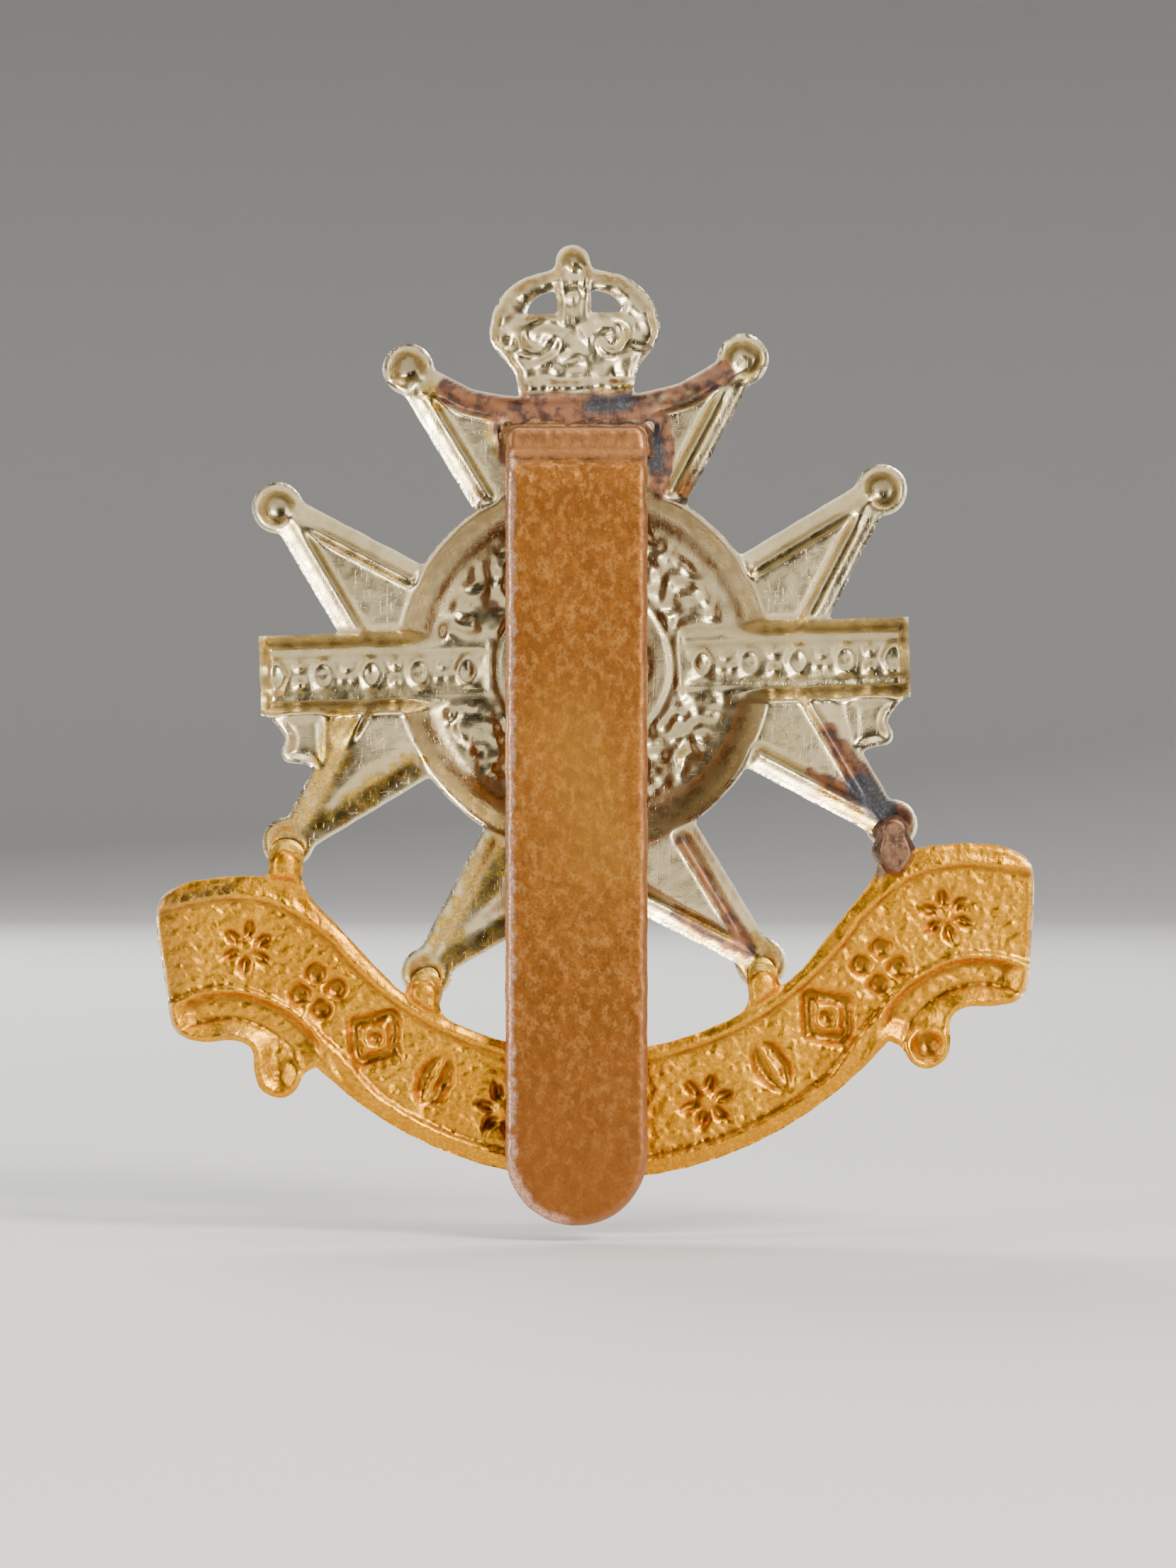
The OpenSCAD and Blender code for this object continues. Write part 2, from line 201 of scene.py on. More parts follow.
def mottle(shape, sigma, seed):
    """Seeded noise of unit spread, with lumps of about sigma grid steps."""
    rough = softened(np.random.default_rng(seed).standard_normal(shape), sigma)
    return (rough - rough.mean()) / rough.std()


class Sheet:
    """A grid over an outline, its points near the edge moved on to the edge."""

    def __init__(self, outline, low, high, step):
        xs = np.arange(low[0], high[0] + step, step)
        ys = np.arange(low[1], high[1] + step, step)
        self.step = step
        self.x, self.y = np.meshgrid(xs, ys, indexing="ij")
        self.shape = self.x.shape
        near = np.abs(outline(self.x, self.y)) < 0.5 * step
        px, py = self.x[near], self.y[near]
        probe = 0.1 * step
        for _ in range(3):
            d = outline(px, py)
            gx = (outline(px + probe, py) - outline(px - probe, py)) / (2 * probe)
            gy = (outline(px, py + probe) - outline(px, py - probe)) / (2 * probe)
            size = np.maximum(gx * gx + gy * gy, 0.25)
            px = px - d * gx / size
            py = py - d * gy / size
        self.x[near], self.y[near] = px, py
        self.d = outline(self.x, self.y)
        self.d[near] = 0
        self.inside = self.d <= 0

    def faces(self):
        """Quads and corner triangles whose points are all inside, as point numbers."""
        number = np.full(self.shape, -1)
        number[self.inside] = np.arange(self.inside.sum())
        corner_numbers = [number[:-1, :-1], number[1:, :-1], number[1:, 1:], number[:-1, 1:]]
        ring = np.stack(corner_numbers, -1).reshape(-1, 4)
        held = (ring >= 0).sum(1)
        quads = ring[held == 4]
        corners = ring[held == 3]
        return quads, corners[corners >= 0].reshape(-1, 3)

    def build(self, name, front, back, masks):
        """Makes the closed mesh between two height fields, with masks as point attributes."""
        quads, corners = self.faces()
        rings = [[tuple(q) for q in quads.tolist()], [tuple(c) for c in corners.tolist()]]
        edges = np.concatenate(
            [quads[:, [i, (i + 1) % 4]] for i in range(4)] + [corners[:, [i, (i + 1) % 3]] for i in range(3)]
        )
        count = int(self.inside.sum())
        forward = edges[:, 0] * count + edges[:, 1]
        backward = edges[:, 1] * count + edges[:, 0]
        rim = edges[~np.isin(forward, backward)]

        flat_x, flat_y = self.x[self.inside], self.y[self.inside]
        z_front, z_back = front[self.inside], back[self.inside]
        top = np.column_stack([flat_x, flat_y, z_front])
        under = np.column_stack([flat_x, flat_y, z_back])
        points = np.concatenate([top, under])
        stood = np.column_stack([points[:, 0], -points[:, 2], points[:, 1]]) * MM

        faces = rings[0] + rings[1]
        faces += [tuple(v + count for v in reversed(f)) for f in rings[0] + rings[1]]
        faces += [(b, a, a + count, b + count) for a, b in rim.tolist()]
        mesh = bpy.data.meshes.new(name)
        mesh.from_pydata(stood.tolist(), [], faces)
        for key, field in masks.items():
            values = field if isinstance(field, tuple) else (field, field)
            both = np.concatenate([values[0][self.inside], values[1][self.inside]])
            mesh.attributes.new(key, "FLOAT", "POINT").data.foreach_set("value", both.astype(np.float32))
        mesh.validate()
        mesh.update()
        mesh.shade_smooth()
        mesh.set_sharp_from_angle(angle=SHARP_ANGLE)
        piece = bpy.data.objects.new(name, mesh)
        bpy.context.scene.collection.objects.link(piece)
        drop_loose_points(piece)
        return piece


def drop_loose_points(piece):
    """Removes grid points that no face uses."""
    form = bmesh.new()
    form.from_mesh(piece.data)
    loose = [v for v in form.verts if not v.link_faces]
    bmesh.ops.delete(form, geom=loose, context="VERTS")
    form.to_mesh(piece.data)
    form.free()


# ---- the cross ----

BALL = polar(TIP_R, TIP_ANGLE)
CORNER = polar(DISC_R, NOTCH_ANGLE)
ARM_ANGLES = [math.radians(a) for a in (0, 90, 180, 270)]
WREATH_IN, WREATH_OUT = 4.3, 7.35
CROWN_FOOT = 13.1
HOLE_CORNER, HOLE_SIZE = (0.83, 17.3), (1.5, 1.12)
TABLET_CURL_EDGE = [
    (15.8, -1.8), (15.1, -2.5), (14.75, -3.1), (14.95, -3.7), (14.8, -4.2), (14.1, -4.35),
    (13.6, -4.5), (13.3, -4.9),
]
TABLET_CURL = smooth(TABLET_CURL_EDGE) + [(11, -4), (11, -1.5)]


def unit(v):
    return v / math.hypot(*v)


def arm_points():
    """One arm's eight-point outline, pointing along +x."""
    notch = unit(BALL - CORNER)
    valley = unit(BALL - np.array([VALLEY_R, 0]))
    shoulder = BALL + NOTCH_FLANK * np.array([-notch[1], notch[0]])
    heel = BALL + VALLEY_FLANK * np.array([valley[1], -valley[0]])
    half = [tuple(heel), tuple(shoulder), tuple(CORNER)]
    return [(VALLEY_R, 0.0)] + half + [(0.0, 0.0)] + [(x, -y) for x, y in reversed(half)]


def collar_points():
    edge = curve((8.4, 15.05), (5.4, 13.55), (3.0, 13.3)) + [(3.0, 13.3)]
    return edge + mirrored(edge) + [(-3.2, 5), (3.2, 5)]


def crown_points():
    half = (
        curve((2.85, 12.9), (2.65, 14.3), (3.5, 15.15), 5)
        + curve((3.5, 15.15), (4.35, 15.9), (4.15, 16.8))
        + curve((4.15, 16.8), (3.8, 19.0), (1.12, 19.4))
        + curve((1.12, 19.4), (0.82, 19.5), (0.82, 19.9), 4)
        + curve((0.82, 19.9), (0.7, 20.6), (0.0, 20.62), 6)
    )
    return half + [(0.0, 20.62)] + mirrored(half)


def arms(x, y):
    """The four arms and the collar under the crown, without balls, disc or tablets."""
    d = polygon(x, y, collar_points())
    for angle in ARM_ANGLES:
        d = np.minimum(d, polygon(*turned(x, y, -angle), arm_points()))
    return d


def balls(x, y):
    """Distance to the nearest ball tip's centre."""
    r = np.full(np.shape(x), np.inf)
    for angle in ARM_ANGLES:
        ax, ay = turned(x, y, -angle)
        r = np.minimum(r, np.hypot(ax - BALL[0], np.abs(ay) - BALL[1]))
    return r


def crown_holes(x, y):
    """Two pierced quarter ovals, one on each side of the crown's pillar."""
    dx, dy = np.abs(x) - HOLE_CORNER[0], y - HOLE_CORNER[1]
    oval = np.hypot(dx / HOLE_SIZE[0], dy / HOLE_SIZE[1]) - 1
    return np.maximum(oval * 1.2, np.maximum(-dx, -dy))


def tablets(x, y):
    return box(np.abs(x), y, (TABLET_IN, -TABLET_HALF), (TABLET_OUT, TABLET_HALF))


def cross_outline(x, y):
    x, y = turned(x, y, CROSS_LEAN)
    wobble = 0.018 * np.sin(3.1 * x + 1.3 * y) * np.sin(2.3 * y - 0.7 * x)
    d = blended(circle(x, y, (0, 0), DISC_R), arms(x, y), 0.25)
    d = blended(d, balls(x, y) - BALL_R, 0.2)
    d = np.minimum(d, tablets(x, y))
    d = blended(d, np.minimum(polygon(x, y, TABLET_CURL), polygon(-x, y, TABLET_CURL)), 0.15)
    d = np.minimum(d, polygon(x, y, crown_points()))
    return np.maximum(d, -crown_holes(x, y)) + wobble


def leaf_ring(r, angle, side, ring_r, count, lean):
    """A ring of struck leaves that point up both sides of the wreath."""
    turn = angle * count / (2 * math.pi)
    along = (turn - np.round(turn)) * 2 * math.pi / count * ring_r
    across = r - ring_r
    u, v = turned(along * side, across, math.radians(lean))
    q = (u / 0.78) ** 2 + (v / 0.34) ** 2
    return np.sqrt(np.clip(1 - q, 0, 1)) * (0.8 + 0.2 * np.cos(v * 18))


def tablet_motifs(x, y):
    """A row of generic lozenges, trefoils, ringed dots and pairs of pellets, from 0 to 1."""
    pitch, count = 1.18, 9
    along = (np.abs(x) - TABLET_IN - 0.9) / pitch
    index = np.clip(np.floor(along), 0, count - 1)
    u = (along - index - 0.5) * pitch
    shapes = [
        0.13 - np.abs(np.abs(u) / 0.5 + np.abs(y) / 0.8 - 1) * 0.4,
        0.2 - np.minimum(np.hypot(np.abs(u) - 0.26, y + 0.24), np.hypot(u, y - 0.26)),
        np.maximum(0.11 - np.abs(np.hypot(u, y * 0.75) - 0.44), 0.17 - np.hypot(u, y)),
        0.24 - np.hypot(u, np.abs(y) - 0.42),
    ]
    d = np.choose(index.astype(int) % len(shapes), shapes)
    inside = np.minimum.reduce([0.8 - np.abs(y), along * pitch, (count - along) * pitch])
    return ramp(-0.04, 0.1, d) * ramp(0, 0.1, inside)


def crown_relief(x, y, warp):
    """Bands, beads and arches of a generic crown, as a height in millimetres."""
    d = -polygon(x, y, crown_points())
    hole = crown_holes(x, y)
    beaded = 0.5 + 0.5 * np.cos(x * 13 + warp[0] * 0.6) * np.cos(y * 12 + warp[1] * 0.6)
    height = 0.34 * ramp(0.16, 0.36, d) * ramp(0.02, 0.14, hole)
    band = ramp(0.3, 0.42, d) * ramp(1.25, 1.1, d) * ramp(15.2, 15.6, y)
    height += band * (0.06 + 0.14 * beaded)
    height += 0.16 * ramp(0.16, 0.05, np.abs(d - 1.3)) * ramp(15.0, 15.5, y) * ramp(18.4, 17.6, y)
    pillar = ramp(0.84, 0.7, np.abs(x)) * ramp(16.6, 16.9, y) * ramp(20.2, 19.8, y)
    rows = 0.5 + 0.5 * np.cos(x * 2 * math.pi / 0.52)
    height += pillar * (0.05 + 0.24 * rows * (0.72 + 0.28 * np.cos(y * 17)))
    height += 0.26 * ramp(0.5, 0.15, np.hypot(x * 0.8, (y - 20.0) * 0.9)) * ramp(19.5, 19.7, y)
    lobe_x, lobe_y = np.abs(x) - 1.75, y - 16.1
    lobe_r, swing = np.hypot(lobe_x, lobe_y), np.arctan2(lobe_y, lobe_x)
    within = ramp(1.3, 1.1, lobe_r) * (1 - pillar)
    height += within * (0.12 + 0.15 * np.sin(lobe_r * 8.5 - swing * 1.5 + 0.7 * warp[0]))
    middle = ramp(0.9, 0.7, np.abs(x)) * ramp(16.9, 16.6, y) * ramp(15.0, 15.2, y)
    height += middle * (0.1 + 0.12 * beaded)
    base = ramp(15.25, 15.1, y)
    lines = 0.5 + 0.5 * np.cos((y + 0.015 * x * x) * 2 * math.pi / 0.24)
    height += 0.13 * base * ramp(14.15, 14.3, y) * lines
    pearl_y = 13.72 + 0.012 * x * x
    pearls = np.hypot((x / 0.56 - np.round(x / 0.56)) * 0.56, y - pearl_y)
    height += base * 0.3 * np.sqrt(np.clip(1 - (pearls / 0.28) ** 2, 0, 1))
    return height


def arm_ribs(x, y, r):
    """The struck ribs inside the arms' edges, shallow where the brazed lower left ones are filled."""
    d = -arms(x, y)
    rib = 0.26 * ramp(0.0, 0.3, d) + 0.34 * ramp(0.45, 0.95, d)
    rib *= ramp(1.3, 1.05, d) * ramp(9.0, 9.6, r)
    middle = ramp(4.4, 3.4, np.abs(x)) * ramp(10.6, 11.8, y)
    rib = rib * (1 - middle) + 0.42 * ramp(0.0, 0.4, d) * middle
    brazed = ramp(-2.4, -3.8, y) * ramp(0.5, 2.5, x)
    shallow = (0.05 * ramp(0.0, 0.3, d) + 0.17 * ramp(0.35, 1.05, d) * ramp(2.0, 1.2, d)) * ramp(9.0, 9.6, r)
    rib = rib * (1 - brazed) + shallow * brazed
    rib_low = ramp(10.4, 11.2, np.abs(y)) + ramp(10.4, 11.2, np.abs(x))
    return rib * np.clip(ramp(9.0, 9.5, r) + rib_low, 0, 1)


def disc_dish(x, r, angle, warp):
    """The dished disc with its wreath, six-petal rosette and boss."""
    inward = np.clip((DISC_R - 0.15 - r) / 1.9, 0, 1)
    dish = DISH_DEPTH * np.sin(inward * math.pi / 2)
    side = np.sign(x)
    wr, wa = r + 0.12 * warp[0], angle + 0.02 * warp[1]
    leaves = np.maximum.reduce([
        leaf_ring(wr, wa, side, 6.7, 30, 32),
        leaf_ring(wr, wa + 0.1, side, 5.85, 26, -28),
        leaf_ring(wr, wa + 0.05, side, 5.05, 22, 30),
    ])
    zone = ramp(WREATH_OUT, WREATH_OUT - 0.35, r) * ramp(WREATH_IN, WREATH_IN + 0.4, r)
    dish += zone * (0.15 * softened(leaves, 1.6) + 0.12 * np.abs(warp[2]))
    dish += 0.28 * ramp(0.2, 0.05, np.abs(r - WREATH_IN))
    petals = np.cos(angle * 6) * 0.5 + 0.5
    rosette = 0.1 + 0.45 * petals * ramp(3.4, 2.4, r) * ramp(0.5, 1.1, r)
    dish += ramp(WREATH_IN - 0.1, WREATH_IN - 0.3, r) * rosette
    return dish + 1.25 * np.sqrt(np.clip(1 - (r / 1.3) ** 2, 0, 1))


def tablet_floor(x, y):
    """The struck floor of both tablets, with its border lines and motifs."""
    ax = np.abs(x)
    panel = ramp(0.98, 0.86, np.abs(y)) * ramp(TABLET_IN + 0.6, TABLET_IN + 0.75, ax)
    floor = TABLET_DEPTH - 0.22 + 0.14 * panel
    floor -= 0.1 * ramp(0.1, 0.03, np.abs(np.abs(y) - 1.02))
    floor += 0.07 * ramp(0.07, 0.02, np.abs(y + 1.42))
    floor += 0.26 * tablet_motifs(x, y)
    frame_line = ramp(0.16, 0.05, np.abs(ax - TABLET_IN - 0.3)) * ramp(1.9, 1.7, np.abs(y))
    return floor - 0.25 * frame_line


def cross_relief(x, y, warp):
    """How far the sheet is struck towards the front, in millimetres."""
    r, ax = np.hypot(x, y), np.abs(x)
    filled = ramp(-5.0, -6.0, y)
    domes = (0.85 - 0.5 * filled) * np.sqrt(np.clip(1 - (balls(x, y) / 0.86) ** 2, 0, 1))
    dish = disc_dish(x, r, np.arctan2(y, x), warp)
    height = np.maximum.reduce([arm_ribs(x, y, r), domes, dish])

    walls = ramp(TABLET_HALF + 0.15, TABLET_HALF - 0.75, np.abs(y))
    ends = ramp(TABLET_OUT + 0.02, TABLET_OUT - 0.35, ax) * ramp(TABLET_IN - 0.1, TABLET_IN + 0.25, ax)
    share = walls * ends
    height = height * (1 - share) + tablet_floor(x, y) * share

    curls = np.minimum(polygon(x, y, TABLET_CURL), polygon(-x, y, TABLET_CURL))
    own = ramp(12.6, 13.4, ax) * ramp(-1.7, -2.1, y)
    height = np.where(curls < 0, np.maximum(height, own * 0.45 * ramp(0.1, 0.6, -curls)), height)

    crown_share = ramp(CROWN_FOOT, CROWN_FOOT + 0.15, y)
    crown_share *= ramp(0.05, -0.05, polygon(x, y, crown_points()))
    return height * (1 - crown_share) + crown_relief(x, y, warp) * crown_share


def speckled(mask, fine, amount):
    """A mask with a ragged, speckled edge."""
    return ramp(0.3, 0.7, mask + amount * fine * ramp(0.0, 0.4, mask))


def near(x, y, a, b, r, soft):
    """1 along the bar from a to b, fading out over soft."""
    return ramp(soft, -soft, capsule(x, y, a, b, r, r))


# Each stain is a bar: its two ends, its radius, the width of its soft edge and its strength.
BROWN_STAINS = [
    ((6.1, 13.75), (3.2, 12.7), 0.75, 0.35, 1),
    ((3.4, 12.7), (-3.2, 12.7), 0.75, 0.35, 1),
    ((-3.2, 12.5), (-7.1, 14.1), 0.68, 0.3, 1),
    ((3.8, 12.2), (3.45, 10.4), 0.5, 0.25, 1),
    ((-4.0, 12.0), (-3.9, 8.7), 0.66, 0.35, 1),
    ((-11.9, -3.5), (-13.2, -5.8), 0.5, 0.3, 1),
    ((-10.9, -5.5), (-13.2, -7.0), 0.3, 0.35, 1),
    ((-13.3, -5.8), (-15.0, -7.9), 0.75, 0.4, 1),
    ((-4.4, -8.6), (-7.6, -14.1), 0.38, 0.35, 1),
    ((-3.9, -12.3), (-6.9, -14.0), 0.2, 0.35, 1),
]
GOLD_STAINS = [
    ((7.3, 14.0), (6.7, 13.2), 0.4, 0.4, 1),
    ((4.45, 12.5), (4.0, 10.5), 0.22, 0.25, 1),
    ((15.1, -8.0), (13.1, -6.3), 1.0, 0.5, 1),
    ((13.1, -6.3), (11.9, -2.4), 0.75, 0.5, 1),
    ((14.1, -7.6), (8.6, -4.7), 0.75, 0.5, 1),
    ((4.4, -8.4), (6.2, -12.1), 0.8, 0.5, 1),
    ((6.2, -12.1), (7.9, -14.6), 1.1, 0.5, 1),
    ((7.6, -14.5), (4.0, -12.9), 0.85, 0.5, 1),
    ((-11.4, -6.5), (-13.4, -8.1), 0.35, 0.5, 1),
    ((-2.4, 13.4), (-1.3, 13.5), 0.25, 0.5, 1),
    ((-4.2, -12.6), (-8.0, -14.6), 0.45, 0.5, 1),
]
BLUE_STAINS = [
    ((-3.55, 11.6), (-3.75, 9.8), 0.45, 0.35, 1),
    ((-0.8, 12.8), (-2.6, 12.9), 0.45, 0.4, 0.8),
    ((-3.4, 12.6), (-7.0, 14.1), 0.4, 0.6, 0.5),
    ((-13.3, -6.3), (-14.4, -7.4), 0.65, 0.3, 1),
]


def stained(x, y, stains):
    """The strongest of several stains at each point, from 0 to 1."""
    return np.maximum.reduce([k * near(x, y, a, b, r, soft) for a, b, r, soft, k in stains])


def cross_stains(sheet, x, y):
    """Heat and flux stains on the hollow back, as point masks."""
    fine = mottle(sheet.shape, 1.2, 11)
    broad = mottle(sheet.shape, 5, 12)
    ragged = 0.17 * broad + 0.1 * fine
    tips = 1.1 * ramp(1.9, 0.9, balls(x, y)) * ramp(-6, -7, y) * ramp(-13, -11, x)
    gold = np.maximum(stained(x, y, GOLD_STAINS), tips)
    blue = stained(x, y, BLUE_STAINS)
    return {
        "brown": speckled(stained(x, y, BROWN_STAINS), ragged, 1.0),
        "gold": speckled(gold, ragged, 1.6) * 0.9,
        "blue": ramp(0.1, 0.9, blue + 0.5 * ragged * ramp(0.0, 0.3, blue)),
    }


def make_cross():
    sheet = Sheet(cross_outline, (-16.9, -16.6), (16.9, 21.2), 0.116)
    x, y = turned(sheet.x, sheet.y, CROSS_LEAN)
    warp = mottle(sheet.shape, 3, 1), mottle(sheet.shape, 3, 2), mottle(sheet.shape, 2.4, 5)
    crisp = cross_relief(x, y, warp)
    soft = softened(crisp, 1.1)
    d = -sheet.d

    hammered = mottle(sheet.shape, 1.6, 3)
    waves = mottle(sheet.shape, 8, 4)
    r = np.hypot(x, y)
    wreath = ramp(WREATH_OUT + 0.15, WREATH_OUT - 0.35, r) * ramp(WREATH_IN - 0.1, WREATH_IN + 0.3, r)
    busy = np.maximum(wreath, ramp(CROWN_FOOT + 0.2, CROWN_FOOT + 0.4, y))
    busy *= 1 - ramp(TABLET_HALF, TABLET_HALF - 0.4, np.abs(y))
    back = soft + (0.006 + 0.05 * busy) * hammered * ramp(0.0, 0.3, d) + 0.012 * waves
    back += 0.05 * ramp(0.12, 0.0, d)
    front = crisp + SHEET_T - 0.3 * ramp(0.32, 0.0, d) ** 2
    back = np.minimum(back, front - 0.3)

    masks = cross_stains(sheet, x, y)
    none = np.zeros(sheet.shape)
    masks = {key: (none, field) for key, field in masks.items()}
    # edge: painted highlight, a pale rim along the outline
    masks["edge"] = ramp(0.14, 0.03, d)
    # hollow: painted shade, the colour darkens where the relief sinks, on both faces
    masks["hollow"] = (ramp(0.3, 0.0, crisp - softened(crisp, 4)), ramp(0.2, 1.6, soft))
    # painted shade: dark in the narrow grooves and crevices of the back
    masks["painted_crevice_shade"] = (none, ramp(0.02, 0.12, soft - softened(soft, 2.4)) * ramp(0.3, 0.0, soft - 1.2))
    masks["rubbed"] = (ramp(0.0, 0.3, crisp - softened(crisp, 5)), ramp(0.12, 0.02, soft) * ramp(9.2, 9.6, r))
    return sheet.build("cross_plate_struck", front, back, masks)


# ---- the title scroll ----

UPPER_R, UPPER_Y = 15.5, -3.4
LOWER_R, LOWER_Y = 19.0, -6.1
SCROLL_END = [
    (14.7, -9.8), (16.5, -9.55), (18.2, -9.5), (19.9, -9.7), (21.0, -10.2), (21.45, -11.0), (21.45, -12.2),
    (21.2, -14.5), (20.95, -16.5), (20.4, -17.25), (19.3, -17.5), (17.9, -17.5), (17.1, -18.0), (17.0, -19.2),
    (16.7, -20.0), (15.85, -20.4), (15.1, -20.1), (14.6, -19.3), (14.0, -18.95),
]
PANEL_TOP = [(12.9, -13.1), (14.4, -11.8), (15.8, -11.0), (17.2, -10.7), (18.8, -10.7), (22.5, -11.4)]
PANEL_FOOT = [
    (22.5, -16.2), (20.6, -15.4), (19.2, -14.9), (17.6, -14.9), (16.1, -15.5), (14.5, -16.6), (12.8, -18.2),
]
BORDER_UPPER, BORDER_LOWER = 0.7, 0.95
# a painted dark dot stands for the shade of a small pit on the back; the mesh carries no pit
PAINTED_PIT_SHADE = (7.54, -16.03)
GREY_STAINS = [
    ((21.0, -10.7), (17.9, -10.1), 0.3, 0.45, 1),
    ((20.8, -11.4), (20.6, -14.5), 0.5, 1.3, 0.5),
    ((18.6, -17.2), (17.6, -17.2), 0.1, 0.5, 1),
]
SCROLL_FOLD = [(21.3, -15.6), (19.3, -15.0), (17.3, -15.05), (15.3, -15.95), (13.9, -17.2)]


def upper_edge():
    return arc((0, UPPER_Y), UPPER_R, 230, 310)


def scroll_points():
    lower = arc((0, LOWER_Y), LOWER_R, 316, 224)
    end = smooth(SCROLL_END)
    return upper_edge() + end + lower + mirrored(end)


def ribbon_points():
    end = smooth(SCROLL_END[:8]) + smooth(SCROLL_FOLD)
    lower = arc((0, LOWER_Y), LOWER_R, 312, 228)
    return upper_edge() + end + lower + mirrored(end)


def panel_points():
    """The sunk panel between the ribbon's two borders, carried on past both ends."""
    upper = arc((0, UPPER_Y), UPPER_R + BORDER_UPPER, 218, 322)
    lower = arc((0, LOWER_Y), LOWER_R - BORDER_LOWER, 308, 232)
    end = smooth(PANEL_TOP) + smooth(PANEL_FOOT)
    return upper + end + lower + mirrored(end)


def lower_tips():
    """The four lower ball tips in the scroll's frame, outer left first."""
    down = 1.5 * math.pi
    angles = (-TIP_ANGLE, down + TIP_ANGLE, down - TIP_ANGLE, math.pi + TIP_ANGLE)
    return [turned(*polar(TIP_R, a), -CROSS_LEAN) for a in angles]


def lug_ends():
    """Each lug's rounded end and its root, in the scroll's frame."""
    ends = []
    for i, p in enumerate(lower_tips()):
        side = 1 if i < 2 else -1
        tip = np.array(turned(p[0] + 0.1 * side, p[1] - LUG_REACH, SCROLL_LEAN))
        ends.append((tip, tip + np.array([0.15 * side, -1.7])))
    return ends


def lugs(x, y):
    d = np.full(np.shape(x), np.inf)
    for tip, root in lug_ends():
        head = np.hypot(x - tip[0], y - tip[1]) - LUG_W / 2
        d = np.minimum(d, blended(head, capsule(x, y, tip, root, LUG_W / 2 - 0.12, LUG_W / 2 + 0.35), 0.2))
    return d


def lug_domes(x, y):
    """How far each lug's head and stem swell towards the back, from 0 to 1."""
    out = np.zeros(np.shape(x))
    for tip, root in lug_ends():
        d = capsule(x, y, tip, root, LUG_W / 2, LUG_W / 2)
        out = np.maximum(out, np.sqrt(np.clip(1 - (d / (LUG_W / 2) + 1) ** 2, 0, 1)))
    return out


def scroll_outline(x, y):
    x, y = turned(x, y, SCROLL_LEAN)
    wobble = 0.02 * np.sin(2.7 * x + 0.9 * y) * np.sin(1.9 * y - 1.1 * x)
    return blended(polygon(x, y, scroll_points()), lugs(x, y), 0.45) + wobble


def title_motifs(x, y):
    """Generic flowers, leaves, lozenges and pellets where a title would stand, from 0 to 1."""
    out = np.zeros(np.shape(x))
    for i in range(-5, 6):
        order = abs(i)
        swing = math.copysign(math.radians(4.4 + 11.8 * order), i) if i else 0.0
        reach = 17.3 + 0.25 * max(0, 3 - order) + 0.23 * max(0, order - 3) ** 3
        tilt = math.copysign(min(abs(swing), math.radians(39)), swing)
        u, v = turned(x - reach * math.sin(swing), y + 4.4 + reach * math.cos(swing), -tilt)
        u, v = u / 1.25, v / 1.25
        r = np.hypot(u, v)
        if order % 4 == 1:
            petals = 0.72 + 0.34 * np.cos(6 * np.arctan2(v, u))
            d = np.maximum((r - petals) * 0.6, 0.36 - r)
        elif order % 4 == 2:
            leaf = np.hypot(np.abs(u) + 0.7, v) - 1.35
            d = np.maximum(leaf, 0.1 - np.abs(u))
        elif order % 4 == 3:
            d = np.minimum(np.abs(np.abs(u) / 0.95 + np.abs(v) / 1.2 - 1) * 0.7 - 0.22, r - 0.3)
        else:
            d = np.hypot(np.abs(u) - 0.5, np.abs(v) - 0.5) - 0.4
        out = np.maximum(out, ramp(0.16, -0.16, d))
    return out


def scroll_relief(x, y):
    """How far the scroll is struck towards the front, in millimetres."""
    ribbon = -polygon(x, y, ribbon_points())
    whole = -polygon(x, y, scroll_points())
    panel = -polygon(x, y, panel_points())
    face = ramp(-0.06, 0.12, ribbon)
    border = -0.08 * np.cos(np.clip(-panel / 0.8, 0, 1) * math.pi)
    line = 0.26 * ramp(0.17, 0.03, np.abs(panel))
    motifs = 0.4 * title_motifs(x, y) * ramp(0.1, 0.35, panel)
    height = face * (0.08 + border + 0.3 * ramp(-0.05, 0.18, panel) + line + motifs)
    past = np.clip(-ribbon, 0, 3)
    fold = 0.55 * ramp(0.0, 1.3, whole) * ramp(0.0, 0.5, past) + 0.16 * ramp(0.14, 0.04, np.abs(past - 1.45))
    knob = np.hypot(x + 15.9, y + 19.4)
    fold += 0.16 * ramp(0.85, 0.2, knob) - 0.16 * ramp(0.25, 0.05, np.abs(knob - 0.95))
    return np.where(ribbon > -0.06, height, (1 - face) * fold)


def scroll_line(x, y):
    """The incised line inside the ribbon's long borders, from 0 to 1, where painted shade darkens it."""
    panel = polygon(x, y, panel_points())
    return ramp(0.15, 0.04, np.abs(panel)) * ramp(0.0, 0.1, -polygon(x, y, ribbon_points()))


